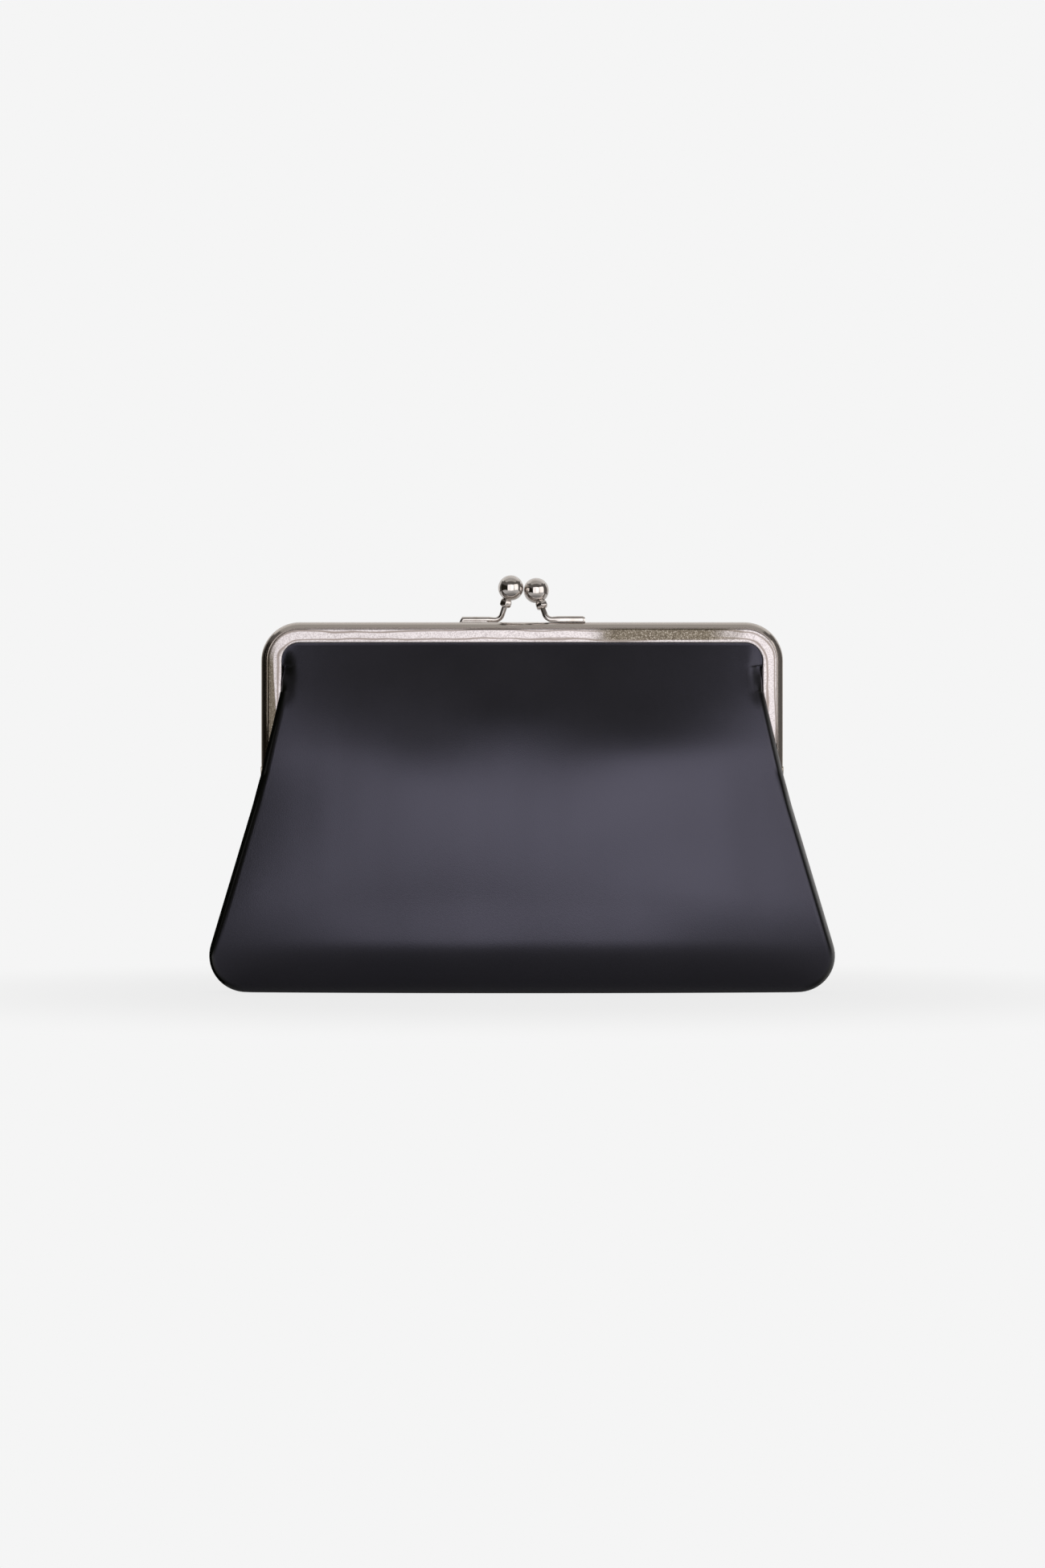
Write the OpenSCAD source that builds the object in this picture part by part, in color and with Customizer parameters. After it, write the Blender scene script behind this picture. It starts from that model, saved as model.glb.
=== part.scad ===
// Kiss lock frame purse: a leather bag on a two part metal frame, closed by two balls that cross.
// X runs across the bag, Y from the front (negative) to the rear, Z up from the base it stands on.

/* [Bag] */
// Width of the bag at its widest place, just above the base
bag_w = 240; // [230:1:260]
// Radius of the two bottom corners, seen from the front
corner_r = 14; // [10:1:18]
// Angle by which each side leans inwards, in degrees
side_lean = 16.7; // [16:0.1:17.5]
// Angle by which the leather's edge leans inwards where it crosses the frame's arm, in degrees
arm_lean = 13.2; // [12.5:0.1:14]
// Depth of the flat base, front to rear
base_d = 21; // [16:1:26]
// Depth of the bag at its fullest place
bag_d = 53; // [46:1:56]
// Height up to which the middle of the bag fills out from its base
swell_z = 19; // [16:1:28]
// The same at its sides
edge_swell_z = 29; // [24:1:36]
// Height from which the bag narrows towards the frame
full_z = 48; // [40:1:54]
// Depth of the bag along its side seams
edge_d = 32; // [26:1:34]
// How flat the bulge is across the bag: a higher power is flatter
bulge_power = 2.2; // [2:0.1:4]
// The same near the frame
neck_power = 3; // [2:0.5:6]
// Thickness of the leather
leather_t = 1.2; // [1:0.1:1.2]

/* [Frame] */
// Outer width of the frame
frame_w = 200; // [196:1:202]
// Height of the frame's top above the base
frame_top = 141.8; // [140:0.1:146]
// Height of the hinge axis above the base
hinge_z = 80; // [78:1:82]
// Width of the channel, seen from the front
channel_w = 8; // [7.6:0.1:8.4]
// Depth of one half's channel, front to rear
channel_d = 5.85; // [5.8:0.05:6.2]
// Thickness of the sheet metal
sheet_t = 0.7; // [0.6:0.05:0.75]
// Outer radius of the frame's corners
frame_r = 14.8; // [13:0.1:17]

/* [Clasp] */
// Radius of each ball
ball_r = 4.85; // [4.5:0.05:4.85]
// Sideways place of the ball on the front half
front_ball_x = 5.4; // [5.4:0.1:6]
// Height of the ball on the front half
front_ball_z = 154.1; // [153.5:0.1:156]
// Sideways place of the ball on the rear half
rear_ball_x = -4.35; // [-5:0.05:-4.35]
// Height of the ball on the rear half
rear_ball_z = 155; // [153.5:0.1:156]
// How far each ball stands past the middle, on the other half's side
ball_past = 1; // [0.8:0.1:1.4]
// Radius of the stem's wire
wire_r = 1.05; // [0.9:0.05:1.1]
// Length of the foot on the front half
front_foot_l = 12.7; // [10:0.1:15]
// Length of the foot on the rear half
rear_foot_l = 13.7; // [10:0.1:15]

/* [Hidden] */
$fn = 64;
fit = 0.05;
cut = 1;

// Heights at which the leather changes what it does
lower_top = 74;
seam_top = 70;
over_arm_z = 83;
fold_top = 100;
arm_leave_z = 115;
pocket_z = 116.5;
enter_z = 124;
held_z = 125;
soft_gap = 0.3;

// The channel, measured from the purse's middle plane
mid_gap = 0.15;
wall_in = mid_gap + sheet_t;
wall_out = mid_gap + channel_d;
crown_r = 1.6;
bead_r = 1.05;
bead_out = 0.2;
top_z = frame_top - channel_w;
inner_w = frame_w / 2 - channel_w;
corner_x = frame_w / 2 - frame_r;
corner_z = frame_top - frame_r;
arm_z = hinge_z + 4.5;

// The leather's place in and before the channel
tuck = 3.3;
in_channel = wall_out - sheet_t - 0.1;
over_arm = wall_out + 0.5 + leather_t;
clear_w = inner_w - 0.4;
side_band = 4;
side_flat = 2.3;
pocket_from = 110;
pocket_to = 122;
lean_from = 55;
lean_to = 112;
lean_end = 134;
side_lean_from = 75;
side_lean_to = 118;

// The leather's cross sections
steps = 24;
seam_gap = 0.05;
roll_r = 6;
over_arm_r = 3;
rim_r = 1.2;
tangent_x = bag_w / 2 - corner_r + corner_r * cos(side_lean);
tangent_z = corner_r + corner_r * sin(side_lean);
base_edge = 3;

// Layers inside the leather, as depths below its outer face
board_from = leather_t + 0.25;
board_to = board_from + 0.9;
lining_body = board_to + 0.6;
lining_neck = leather_t + 0.2;
lining_t = 0.4;
seam_short = 3;

// Hinge
ear_t = 0.8;
ear_r = 4.2;
ear_gap = 0.2;
front_ear_x = frame_w / 2 - ear_t;
rear_ear_x = front_ear_x - ear_gap - ear_t;
rivet_r = 1.25;
rivet_head_r = 2.4;
rivet_head_t = 0.9;
washer_r = 2.9;
washer_t = 0.8;
washer_x = rear_ear_x - 2 * fit - washer_t;
tail_r = 2.1;
tail_t = 0.7;
tail_x = washer_x - fit - tail_t;

// Cord that wedges the leather in the channel
cord_r = 1;
cord_inset = 2.2;
cord_y = 2.35;

// Clasp
foot_r = 1.25;
foot_sink = 0.2;
bend_r = 3;
bend_up = 1.05;
clasp_y = 3;
flex_gap = 0.1;
// The wire is a little thicker through its bend, and the straight stretch starts inside it
swage = 0.03;
lap = 0.2;
socket_r = wire_r + 0.02;
socket_at = 2;
collar_r = 2.25;
neck_r = 1.85;
collar_to = 7.7;

leather_colour = "#24242a";
lining_colour = "#3a3a3d";
board_colour = "#b9b2a4";
nickel_colour = "#c9c2bf";
steel_colour = "#a7a29d";
paper_colour = "#c7ab7e";

function clamp(v) = max(0, min(1, v));
function smooth(v) = pow(clamp(v), 2) * (3 - 2 * clamp(v));
function ramp(z, from, to) = smooth((z - from) / (to - from));
function quarter(v) = sqrt(max(0, 1 - pow(1 - clamp(v), 2)));

// Half width of the closed bag at height z: an arc at the corner, a lean, then a steeper one over the arm
function side_w(z) = z < tangent_z
    ? bag_w / 2 - corner_r + corner_r * sqrt(max(0, 1 - pow(1 - z / corner_r, 2)))
    : tangent_x - tan(side_lean) * (min(z, over_arm_z) - tangent_z)
        - tan(arm_lean) * max(0, z - over_arm_z);

// Half width of the leather's edge inside the channel, round the frame's corners
function tucked_w(z) = z < corner_z
    ? frame_w / 2 - tuck
    : corner_x + sqrt(max(0, pow(frame_r - tuck, 2) - pow(z - corner_z, 2)));

// Half width of the leather at height z: the bag's side, then clear of the arm, then in the channel
function leather_w(z) = z <= arm_leave_z ? side_w(z) : z < held_z ? clear_w : tucked_w(z);

// Distance of the leather's edge from the middle plane, at its outer face
function edge_y(z) = z < edge_swell_z
    ? base_edge + (edge_d / 2 - base_edge) * quarter(z / edge_swell_z)
    : z < pocket_z
    ? edge_d / 2 + (over_arm - edge_d / 2) * ramp(z, full_z, over_arm_z)
    : over_arm + (in_channel - over_arm) * ramp(z, pocket_z, enter_z);

// How far the face has leant back at height z: its slope grows between two heights and then stays
function leant(z, from, to) = let(v = clamp((z - from) / (to - from)))
    (to - from) * (pow(v, 3) - pow(v, 4) / 2) + max(0, min(z, lean_end) - to);

// What is left at height z of a depth that leans back to the channel's
function narrowed(deep, z, from, to) =
    in_channel + (deep - in_channel) * (1 - leant(z, from, to) / leant(lean_end, from, to));

// Half depth at the middle of the bag
function mid_y(z) = z < full_z
    ? base_d / 2 + (bag_d - base_d) / 2 * quarter(z / swell_z)
    : narrowed(bag_d / 2, z, lean_from, lean_to);

// Distance from the middle plane at which the edge ends: zero where a seam closes the two sides
function rim_y(z, off) = seam_gap
    + (edge_y(z) - leather_t - off - seam_gap) * ramp(z, seam_top, over_arm_z);

// Width over which the face rolls round to the edge
function roll(z) = roll_r + (over_arm_r - roll_r) * ramp(z, seam_top, over_arm_z)
    + (rim_r - over_arm_r) * ramp(z, pocket_from, pocket_to);

// Half width over which the face bulges
function bulge_w(z) = let(w = side_w(min(z, arm_leave_z))) w + (clear_w - w) * ramp(z, 90, arm_leave_z);

// Where the leather dips to pass behind the arm: 1 along its edge and near the frame's corners, 0 elsewhere
function at_side(x, z) =
    smooth((abs(x) - bulge_w(z) + side_band + side_flat) / side_band) * ramp(z, pocket_from, pocket_to);

// Depth that the face bulges from: level across the bag, and at its edges the edge's own depth
function base_y(x, z) =
    let(level = z < full_z ? edge_y(z) : narrowed(edge_d / 2, z, side_lean_from, side_lean_to))
    level + (edge_y(z) - level) * at_side(x, z);

// A point on the front's cross section at height z, with k from -1 to 1 across it
function face_point(z, k, off, inside, w) =
    let(
        x = w * sin(90 * k),
        rim = max(rim_y(z, inside), seam_gap),
        e = max(base_y(x, z) - off, rim + seam_gap),
        d = max(mid_y(z) - off, e),
        turn = quarter((w - abs(x)) / max(roll(z) - off, 0.3)),
        power = bulge_power + (neck_power - bulge_power) * ramp(z, full_z, 110),
        swell = max(0, 1 - pow(abs(x) / (bulge_w(z) - off), power))
    )
    [x, -(rim + (e - rim) * turn + (d - e) * swell)];

// Heights of a layer that lies off inside the leather's face: lifted clear of the floor
function lifted(z, off) = z + off * clamp(1 - z / 12);

// One ring of points of a face, from side to side. A row is [height, part of the depth].
function ring(row, off, inside, w) = [
    for (i = [0 : steps])
        let(p = face_point(row[0], 2 * i / steps - 1, off, inside, w))
        [p[0], -max(-p[1] * row[1], seam_gap), lifted(row[0], off)]
];

// A closed sheet between two depths under the leather's face. Each row gives its own two depths.
module sheet(rows, tops, bottoms, inside, widths) {
    n = len(rows);
    s = steps + 1;
    outer = [for (j = [0 : n - 1]) each ring(rows[j], tops[j], inside[j], widths[j] - tops[j])];
    inner = [for (j = [0 : n - 1]) each ring(rows[j], bottoms[j], inside[j], widths[j] - bottoms[j])];
    m = n * s;
    walls = [
        for (j = [0 : n - 2], i = [0 : steps - 1])
            let(a = j * s + i, b = a + 1, c = a + s, d = c + 1)
            each [[a, c, d], [a, d, b], [m + a, m + d, m + c], [m + a, m + b, m + d]]
    ];
    sides = [
        for (j = [0 : n - 2])
            let(a = j * s, c = a + s, b = a + steps, d = b + s)
            each [[a, m + a, m + c], [a, m + c, c], [b, d, m + d], [b, m + d, m + b]]
    ];
    ends = [
        for (i = [0 : steps - 1])
            let(a = i, b = i + 1, c = (n - 1) * s + i, d = c + 1)
            each [[a, b, m + b], [a, m + b, m + a], [c, m + c, m + d], [c, m + d, d]]
    ];
    polyhedron(points = concat(outer, inner), faces = concat(walls, sides, ends), convexity = 6);
}

function same(rows, v) = [for (r = rows) v];
function layer_w(rows) = [for (r = rows) leather_w(r[0])];

lower_rows = [
    [0, 0.001], [0, 0.5], [0, 1], [0.8, 1], [2.5, 1], [5, 1], [8, 1], [12, 1], [17, 1],
    [24, 1], [34, 1], [48, 1], [60, 1], [seam_top, 1], [lower_top, 1]
];
fold_rows = [for (z = [lower_top + soft_gap, 77, 79, 81, over_arm_z, 88, 94, fold_top - soft_gap]) [z, 1]];
upper_rows = [
    for (z = [fold_top, 107, arm_leave_z, pocket_z, enter_z, held_z, corner_z, 131, top_z, 136,
        frame_top - tuck])
        [z, 1]
];

// The bottom of the closed bag: the part that stands and keeps its shape
module leather_lower() {
    difference() {
        translate([0, 0, -seam_gap]) sheet(
            lower_rows, same(lower_rows, 0), same(lower_rows, leather_t),
            same(lower_rows, 0), layer_w(lower_rows)
        );
        translate([-bag_w, -bag_d, -cut]) cube([2 * bag_w, 2 * bag_d, cut]);
    }
}

// The stretch at the hinge that folds as the frame opens
module leather_fold() {
    sheet(
        fold_rows, same(fold_rows, 0), same(fold_rows, leather_t),
        same(fold_rows, 0), layer_w(fold_rows)
    );
}

// The stretch above the fold, whose edges run in the frame's channel
module leather_upper() {
    sheet(
        upper_rows, same(upper_rows, 0), same(upper_rows, leather_t),
        same(upper_rows, 0), layer_w(upper_rows)
    );
}

// Stiffener bonded inside the lower leather, short of the seams
module interlining() {
    rows = [for (z = [3, 5, 8, 12, 17, 24, 34, 48, 60, 68]) [z, 1]];
    difference() {
        sheet(rows, same(rows, board_from), same(rows, board_to), same(rows, 0), layer_w(rows));
        translate([-bag_w, -seam_short, -cut]) cube([2 * bag_w, bag_d, bag_w]);
    }
}

// Cloth lining: closed along the base and the sides, open at the top, where it runs into the channel
module lining() {
    rows = [
        each lower_rows,
        for (z = [over_arm_z, 92, fold_top, 108, enter_z - 4, enter_z, held_z, corner_z, 131, top_z, 136,
            frame_top - tuck - 0.5])
            [z, 1]
    ];
    depth = [for (r = rows) lining_body + (lining_neck - lining_body) * ramp(r[0], 90, enter_z - 4)];
    w = [for (r = rows) lining_w(r[0])];
    sheet(rows, depth, [for (d = depth) d + lining_t], depth, w);
}

// Half width that the lining is drawn from: the leather's, kept between the arms above the seams
function lining_w(z) = let(w = leather_w(z))
    z < held_z ? w + (min(w, inner_w + 1) - w) * ramp(z, seam_top, over_arm_z) : w;

// Section of the channel: x is the distance in from the frame's outer edge, y from the middle plane
module channel_section() {
    difference() {
        union() {
            translate([crown_r, mid_gap]) square([channel_w - crown_r, channel_d]);
            translate([0, mid_gap + crown_r]) square([crown_r, channel_d - 2 * crown_r]);
            translate([crown_r, mid_gap + crown_r]) circle(crown_r);
            translate([crown_r, wall_out - crown_r]) circle(crown_r);
            translate([bead_r, wall_out + bead_out - bead_r]) circle(bead_r);
        }
        translate([sheet_t, wall_in]) square([channel_w, channel_d - 2 * sheet_t]);
    }
}

// One half of the frame, made for the front: the channel's top, two corners and two arms
module channel() {
    translate([-corner_x, 0, frame_top]) rotate([0, 90, 0])
        linear_extrude(2 * corner_x) mirror([0, 1]) channel_section();
    for (side = [0, 1]) mirror([side, 0, 0]) {
        translate([corner_x, 0, corner_z]) rotate([90, 0, 0]) rotate_extrude(angle = 90)
            translate([frame_r, 0]) mirror([1, 0]) channel_section();
        translate([frame_w / 2, 0, arm_z])
            linear_extrude(corner_z - arm_z) rotate(180) channel_section();
    }
}

// A plate across the arm's end, with the rivet's hole: from x to x + ear_t, up to height top
module ear(x, top) {
    difference() {
        translate([x, 0, hinge_z]) rotate([90, 0, 90]) linear_extrude(ear_t) union() {
            circle(ear_r);
            polygon([
                [-wall_out, top - hinge_z], [-mid_gap, top - hinge_z], [-mid_gap, 0],
                [-ear_r * cos(12), -ear_r * sin(12)], [-wall_out, 5]
            ]);
        }
        translate([x - cut, 0, hinge_z]) rotate([0, 90, 0]) cylinder(r = rivet_r + fit, h = ear_t + 2 * cut);
    }
}

module frame_half(x, top) {
    channel();
    for (side = [0, 1]) mirror([side, 0, 0]) ear(x, top);
}

// Twisted paper cord that wedges the leather and the lining in the channel
module paper_cord() {
    r = frame_r - cord_inset;
    translate([-corner_x, -cord_y, frame_top - cord_inset]) rotate([0, 90, 0])
        cylinder(r = cord_r, h = 2 * corner_x);
    for (side = [0, 1]) mirror([side, 0, 0]) {
        translate([corner_x, -cord_y, corner_z]) rotate([90, 0, 0]) rotate_extrude(angle = 90)
            translate([r, 0]) circle(cord_r);
        translate([corner_x + r, -cord_y, held_z]) cylinder(r = cord_r, h = corner_z - held_z);
    }
}

// Rivet through both ears of the right side: domed head outside, flat tail inside
module rivet() {
    cap_r = (pow(rivet_head_r, 2) + pow(rivet_head_t, 2)) / (2 * rivet_head_t);
    head_at = frame_w / 2 + fit - tail_x;
    translate([tail_x, 0, hinge_z]) rotate([0, 90, 0]) rotate_extrude() union() {
        square([tail_r, tail_t]);
        square([rivet_r, head_at + fit]);
        intersection() {
            translate([0, head_at + rivet_head_t - cap_r]) circle(cap_r);
            translate([0, head_at]) square([rivet_head_r, rivet_head_t]);
        }
    }
}

module washer() {
    translate([washer_x, 0, hinge_z]) rotate([0, 90, 0]) difference() {
        cylinder(r = washer_r, h = washer_t);
        translate([0, 0, -cut]) cylinder(r = rivet_r + fit, h = washer_t + 2 * cut);
    }
}

// The clasp is drawn for the front half: its foot runs towards +X and its stem bends towards -X.
// side is 1 for the front half and -1 for the rear half, which is turned half round.
module on_half(side) {
    rotate([0, 0, side > 0 ? 0 : 180]) children();
}

// Angle by which the stem leans back to carry its ball past the middle
function lean(ball_z) = atan((clasp_y + ball_past) / (ball_z - frame_top - bend_up));
function rise(ball_z) = (ball_z - frame_top - bend_up) / cos(lean(ball_z));
// Sideways place of the bend, so that the foot ends where the photographed one does
function bend_x(foot_end, foot_l) = foot_end - foot_l;
// Angle through which the wire bends so that its straight stretch points at the ball
function turn(dx, up) = asin(bend_r / norm([dx, up - bend_r])) + atan2(up - bend_r, dx);

foot_end = 24.3;
front_bend = bend_x(foot_end, front_foot_l);
rear_bend = bend_x(foot_end, rear_foot_l);

// Foot soldered along the crown of the frame
module clasp_foot(bend, length) {
    z = frame_top + foot_r - foot_sink;
    difference() {
        union() {
            translate([bend + flex_gap, -clasp_y, z]) rotate([0, 90, 0])
                cylinder(r = foot_r, h = length - foot_r);
            translate([foot_end - foot_r + flex_gap, -clasp_y, z]) sphere(foot_r);
        }
        translate([0, -clasp_y - cut - foot_r, frame_top - cut])
            cube([foot_end + cut, 2 * cut + 2 * foot_r, cut + fit / 2]);
    }
}

// Places children with Z along the stem, from the ball's centre down
module along_stem(bend, ball_x, ball_z) {
    up = rise(ball_z);
    dx = bend - ball_x;
    a = turn(dx, up);
    translate([bend, -clasp_y, frame_top + bend_up]) rotate([-lean(ball_z), 0, 0])
        translate([-dx, 0, up]) rotate([0, 90 + a, 0]) children();
}

// Wire from the foot, round its bend and into the ball
module clasp_stem(bend, ball_x, ball_z) {
    up = rise(ball_z);
    dx = bend - ball_x;
    a = turn(dx, up);
    straight = norm([dx - bend_r * sin(a), up - bend_r * (1 - cos(a))]);
    translate([bend, -clasp_y, frame_top + bend_up]) rotate([-lean(ball_z), 0, 0])
        translate([0, 0, bend_r]) rotate([90, 0, 0]) rotate([0, 0, 270 - a]) rotate_extrude(angle = a)
            translate([bend_r, 0]) circle(wire_r + swage);
    along_stem(bend, ball_x, ball_z) translate([0, 0, socket_at])
        cylinder(r = wire_r, h = straight + lap - socket_at);
}

// Distance from the ball's centre at which the collar seats under the ball, at radius r
function seat(r) = sqrt(pow(ball_r, 2) - pow(r, 2)) + fit;

// Flared collar between the stem and the ball
module clasp_collar(bend, ball_x, ball_z) {
    along_stem(bend, ball_x, ball_z) rotate_extrude() polygon([
        [socket_r, seat(socket_r)], [neck_r, seat(neck_r)], [neck_r - 0.15, 5.4], [collar_r, 6],
        [collar_r, 6.9], [1.6, collar_to], [socket_r, collar_to]
    ]);
}

module clasp_ball(bend, ball_x, ball_z) {
    along_stem(bend, ball_x, ball_z) difference() {
        sphere(ball_r);
        translate([0, 0, socket_at - fit]) cylinder(r = socket_r, h = ball_r);
    }
}

module front_leather_lower() { color(leather_colour) leather_lower(); }
module front_leather_fold() { color(leather_colour) leather_fold(); }
module front_leather_upper() { color(leather_colour) leather_upper(); }
module rear_leather_lower() { color(leather_colour) mirror([0, 1, 0]) leather_lower(); }
module rear_leather_fold() { color(leather_colour) mirror([0, 1, 0]) leather_fold(); }
module rear_leather_upper() { color(leather_colour) mirror([0, 1, 0]) leather_upper(); }
module front_interlining() { color(board_colour) interlining(); }
module rear_interlining() { color(board_colour) mirror([0, 1, 0]) interlining(); }
module front_lining() { color(lining_colour) lining(); }
module rear_lining() { color(lining_colour) mirror([0, 1, 0]) lining(); }
module front_frame() { color(nickel_colour) frame_half(front_ear_x, arm_z + 2); }
module rear_frame() { color(nickel_colour) mirror([0, 1, 0]) frame_half(rear_ear_x, arm_z + 7); }
module front_paper_cord() { color(paper_colour) paper_cord(); }
module rear_paper_cord() { color(paper_colour) mirror([0, 1, 0]) paper_cord(); }
module hinge_rivets() { color(steel_colour) for (side = [0, 1]) mirror([side, 0, 0]) rivet(); }
module hinge_washers() { color(steel_colour) for (side = [0, 1]) mirror([side, 0, 0]) washer(); }
module front_clasp_foot() { color(nickel_colour) on_half(1) clasp_foot(front_bend, front_foot_l); }
module front_clasp_stem() {
    color(nickel_colour) on_half(1) clasp_stem(front_bend, front_ball_x, front_ball_z);
}
module front_clasp_collar() {
    color(nickel_colour) on_half(1) clasp_collar(front_bend, front_ball_x, front_ball_z);
}
module front_clasp_ball() {
    color(nickel_colour) on_half(1) clasp_ball(front_bend, front_ball_x, front_ball_z);
}
module rear_clasp_foot() { color(nickel_colour) on_half(-1) clasp_foot(rear_bend, rear_foot_l); }
module rear_clasp_stem() {
    color(nickel_colour) on_half(-1) clasp_stem(rear_bend, -rear_ball_x, rear_ball_z);
}
module rear_clasp_collar() {
    color(nickel_colour) on_half(-1) clasp_collar(rear_bend, -rear_ball_x, rear_ball_z);
}
module rear_clasp_ball() {
    color(nickel_colour) on_half(-1) clasp_ball(rear_bend, -rear_ball_x, rear_ball_z);
}

front_leather_lower();
front_leather_fold();
front_leather_upper();
rear_leather_lower();
rear_leather_fold();
rear_leather_upper();
front_interlining();
rear_interlining();
front_lining();
rear_lining();
front_frame();
rear_frame();
front_paper_cord();
rear_paper_cord();
hinge_rivets();
hinge_washers();
front_clasp_foot();
front_clasp_stem();
front_clasp_collar();
front_clasp_ball();
rear_clasp_foot();
rear_clasp_stem();
rear_clasp_collar();
rear_clasp_ball();
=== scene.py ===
import bmesh
import bpy
import math
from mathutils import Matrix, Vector, noise


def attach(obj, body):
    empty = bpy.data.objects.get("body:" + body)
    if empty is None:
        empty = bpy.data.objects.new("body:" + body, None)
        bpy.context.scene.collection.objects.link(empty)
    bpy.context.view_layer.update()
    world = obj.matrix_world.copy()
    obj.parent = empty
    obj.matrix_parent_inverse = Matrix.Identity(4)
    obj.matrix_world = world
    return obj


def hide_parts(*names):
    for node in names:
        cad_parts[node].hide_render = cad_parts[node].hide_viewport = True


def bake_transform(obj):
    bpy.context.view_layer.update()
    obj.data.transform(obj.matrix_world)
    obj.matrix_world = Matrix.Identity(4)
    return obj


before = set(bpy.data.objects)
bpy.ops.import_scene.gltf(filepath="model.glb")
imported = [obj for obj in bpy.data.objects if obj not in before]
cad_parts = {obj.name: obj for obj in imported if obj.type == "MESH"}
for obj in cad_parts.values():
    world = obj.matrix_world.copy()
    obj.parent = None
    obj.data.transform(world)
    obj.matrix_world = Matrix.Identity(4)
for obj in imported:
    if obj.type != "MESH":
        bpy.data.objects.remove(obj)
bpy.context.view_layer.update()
mm = 0.001

# Camera. It looks straight at the front, level with the middle of the bag's height,
# so that one millimetre at the purse takes the same share of the picture as in the photograph.
photo_height_px = 1950
px_per_mm = 3.24
camera_back = 1.6
look_x = 0.15 * mm
look_z = 79.8 * mm
sensor_mm = 36
bpy.ops.object.camera_add(location=(look_x, -camera_back, look_z), rotation=(math.radians(90), 0, 0))
camera = bpy.context.object
camera.data.sensor_fit = "VERTICAL"
camera.data.sensor_height = sensor_mm
camera.data.lens = sensor_mm * camera_back / (photo_height_px / px_per_mm * mm)
bpy.context.scene.camera = camera


# Studio. A small pale floor and a pale world round it. Two large soft windows stand side by side
# in front, the left one a little dimmer. Others light the purse from above and from behind, and
# a pale panel stands at the right and a dark curtain at the left.
def new_material(name):
    material = bpy.data.materials.new(name)
    material.use_nodes = True
    nodes = material.node_tree.nodes
    nodes.clear()
    return material, nodes, material.node_tree.links


pale = (0.913, 0.913, 0.913, 1)
floor_size = 0.96
floor_front = 0.32
bpy.ops.object.select_all(action="DESELECT")
bpy.ops.mesh.primitive_plane_add(size=floor_size, location=(0, floor_size / 2 - floor_front, 0))
floor = bpy.context.object
floor.name = "floor"
bpy.ops.object.transform_apply(location=True, rotation=True, scale=True)
material, nodes, links = new_material("pale_floor")
output = nodes.new("ShaderNodeOutputMaterial")
path = nodes.new("ShaderNodeLightPath")
glossy_share = nodes.new("ShaderNodeMath")
glossy_share.operation = "MULTIPLY"
place = nodes.new("ShaderNodeTexCoord")
away = nodes.new("ShaderNodeVectorMath")
away.operation = "LENGTH"
near = nodes.new("ShaderNodeMapRange")
near.inputs["From Min"].default_value = 0.11
near.inputs["From Max"].default_value = 0.31
near.inputs["To Min"].default_value = 0.88
near.inputs["To Max"].default_value = 1.0
near.interpolation_type = "SMOOTHSTEP"
far = nodes.new("ShaderNodeMapRange")
far.inputs["From Min"].default_value = 0.12
far.inputs["From Max"].default_value = 0.22
far.inputs["To Min"].default_value = 0.04
far.inputs["To Max"].default_value = 0.40
links.new(place.outputs["Object"], away.inputs[0])
links.new(away.outputs["Value"], near.inputs["Value"])
links.new(away.outputs["Value"], far.inputs["Value"])
seen = nodes.new("ShaderNodeMath")
seen.operation = "MULTIPLY_ADD"
seen.use_clamp = True
whole = nodes.new("ShaderNodeMath")
whole.operation = "ADD"
whole.use_clamp = True
lit = nodes.new("ShaderNodeBsdfDiffuse")
lit.inputs["Color"].default_value = (0.62, 0.62, 0.62, 1)
glow = nodes.new("ShaderNodeEmission")
glow.inputs["Color"].default_value = pale
mix = nodes.new("ShaderNodeMixShader")
links.new(path.outputs["Is Glossy Ray"], glossy_share.inputs[0])
links.new(far.outputs[0], glossy_share.inputs[1])
links.new(path.outputs["Is Camera Ray"], seen.inputs[0])
links.new(near.outputs[0], seen.inputs[1])
links.new(glossy_share.outputs[0], seen.inputs[2])
links.new(seen.outputs[0], whole.inputs[0])
links.new(path.outputs["Is Transmission Ray"], whole.inputs[1])
links.new(whole.outputs[0], mix.inputs[0])
links.new(lit.outputs[0], mix.inputs[1])
links.new(glow.outputs[0], mix.inputs[2])
links.new(mix.outputs[0], output.inputs["Surface"])
floor.data.materials.append(material)

world = bpy.data.worlds.new("studio")
bpy.context.scene.world = world
world.use_nodes = True
nodes = world.node_tree.nodes
links = world.node_tree.links
nodes.clear()
output = nodes.new("ShaderNodeOutputWorld")
path = nodes.new("ShaderNodeLightPath")
glossy_share = nodes.new("ShaderNodeMath")
glossy_share.operation = "MULTIPLY_ADD"
glossy_share.inputs[1].default_value = 0.04
whole = nodes.new("ShaderNodeMath")
whole.operation = "ADD"
whole.use_clamp = True
room = nodes.new("ShaderNodeBackground")
room.inputs["Color"].default_value = (0.10, 0.092, 0.085, 1)
backdrop = nodes.new("ShaderNodeBackground")
backdrop.inputs["Color"].default_value = pale
mix = nodes.new("ShaderNodeMixShader")
links.new(path.outputs["Is Glossy Ray"], glossy_share.inputs[0])
links.new(path.outputs["Is Camera Ray"], glossy_share.inputs[2])
links.new(glossy_share.outputs[0], whole.inputs[0])
links.new(path.outputs["Is Transmission Ray"], whole.inputs[1])
links.new(whole.outputs[0], mix.inputs[0])
links.new(room.outputs[0], mix.inputs[1])
links.new(backdrop.outputs[0], mix.inputs[2])
links.new(mix.outputs[0], output.inputs["Surface"])


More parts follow.
